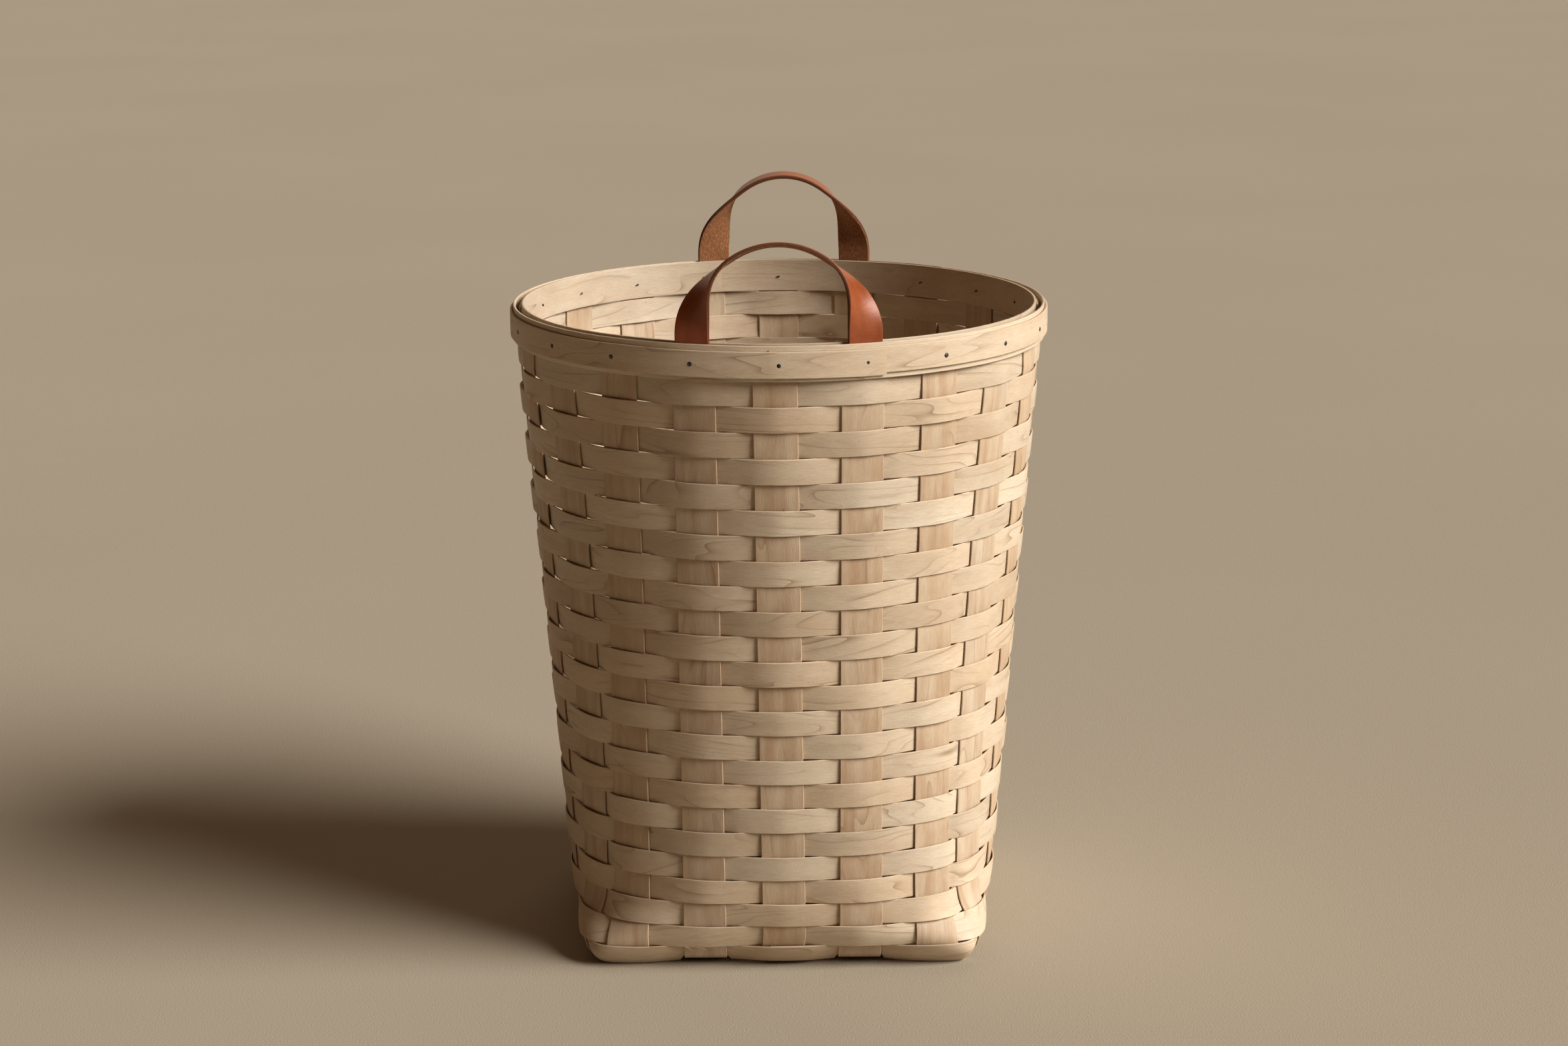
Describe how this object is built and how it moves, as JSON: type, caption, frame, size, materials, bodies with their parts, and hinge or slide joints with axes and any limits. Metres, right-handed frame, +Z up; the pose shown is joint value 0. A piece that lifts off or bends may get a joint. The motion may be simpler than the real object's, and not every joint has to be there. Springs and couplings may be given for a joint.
{
  "type": "woven splint basket",
  "caption": "Tall open basket woven from thin wood splints, with a square foot, a round tacked rim and two leather strap handles that fold at the rim.",
  "frame": {"origin": "centre of the base, on the floor the basket stands on", "axes": "+Z up, front at -Y, one handle at -Y and one at +Y"},
  "size_m": [0.4074, 0.4074, 0.5526],
  "materials": {
    "weaver_splint": "thin pale maple splint, unfinished, satin where it was planed",
    "upright_splint": "pale splint, a little pinker than the weavers, grain running up",
    "rim_splint": "bent pale wood with sanded edges",
    "strap_leather": "chestnut vegetable tanned leather, smooth outside and raw inside",
    "tack_steel": "small dark steel tacks"
  },
  "bodies": {
    "basket": {"weaver_01": "weaver_splint", "weaver_02": "weaver_splint", "weaver_03": "weaver_splint", "weaver_04": "weaver_splint", "weaver_05": "weaver_splint", "weaver_06": "weaver_splint", "weaver_07": "weaver_splint", "weaver_08": "weaver_splint", "weaver_09": "weaver_splint", "weaver_10": "weaver_splint", "weaver_11": "weaver_splint", "weaver_12": "weaver_splint", "weaver_13": "weaver_splint", "weaver_14": "weaver_splint", "weaver_15": "weaver_splint", "weaver_16": "weaver_splint", "weaver_17": "weaver_splint", "weaver_18": "weaver_splint", "weaver_19": "weaver_splint", "weaver_20": "weaver_splint", "weaver_21": "weaver_splint", "weaver_22": "weaver_splint", "weaver_23": "weaver_splint", "weaver_24": "weaver_splint", "upright_front_rear_1": "upright_splint", "upright_front_rear_2": "upright_splint", "upright_front_rear_3": "upright_splint", "upright_front_rear_4": "upright_splint", "upright_front_rear_5": "upright_splint", "upright_left_right_1": "upright_splint", "upright_left_right_2": "upright_splint", "upright_left_right_3": "upright_splint", "upright_left_right_4": "upright_splint", "upright_left_right_5": "upright_splint", "rim_inner_hoop": "rim_splint", "rim_outer_band": "rim_splint", "rim_outer_trim": "rim_splint", "rim_tacks": "tack_steel", "handle_front_tail_left": "strap_leather", "handle_front_tail_right": "strap_leather", "handle_rear_tail_left": "strap_leather", "handle_rear_tail_right": "strap_leather"},
    "front_handle": {"handle_front_loop": "strap_leather"},
    "rear_handle": {"handle_rear_loop": "strap_leather"}
  },
  "joints": [
    {"name": "front_handle_fold", "type": "hinge", "parent": "basket", "child": "front_handle", "pos_m": [0, -0.18783, 0.485], "axis": [1, 0, 0], "range_deg": [-45, 45], "stiffness_Nm_per_rad": 0.3},
    {"name": "rear_handle_fold", "type": "hinge", "parent": "basket", "child": "rear_handle", "pos_m": [0, 0.18783, 0.485], "axis": [1, 0, 0], "range_deg": [-45, 45], "stiffness_Nm_per_rad": 0.3}
  ]
}
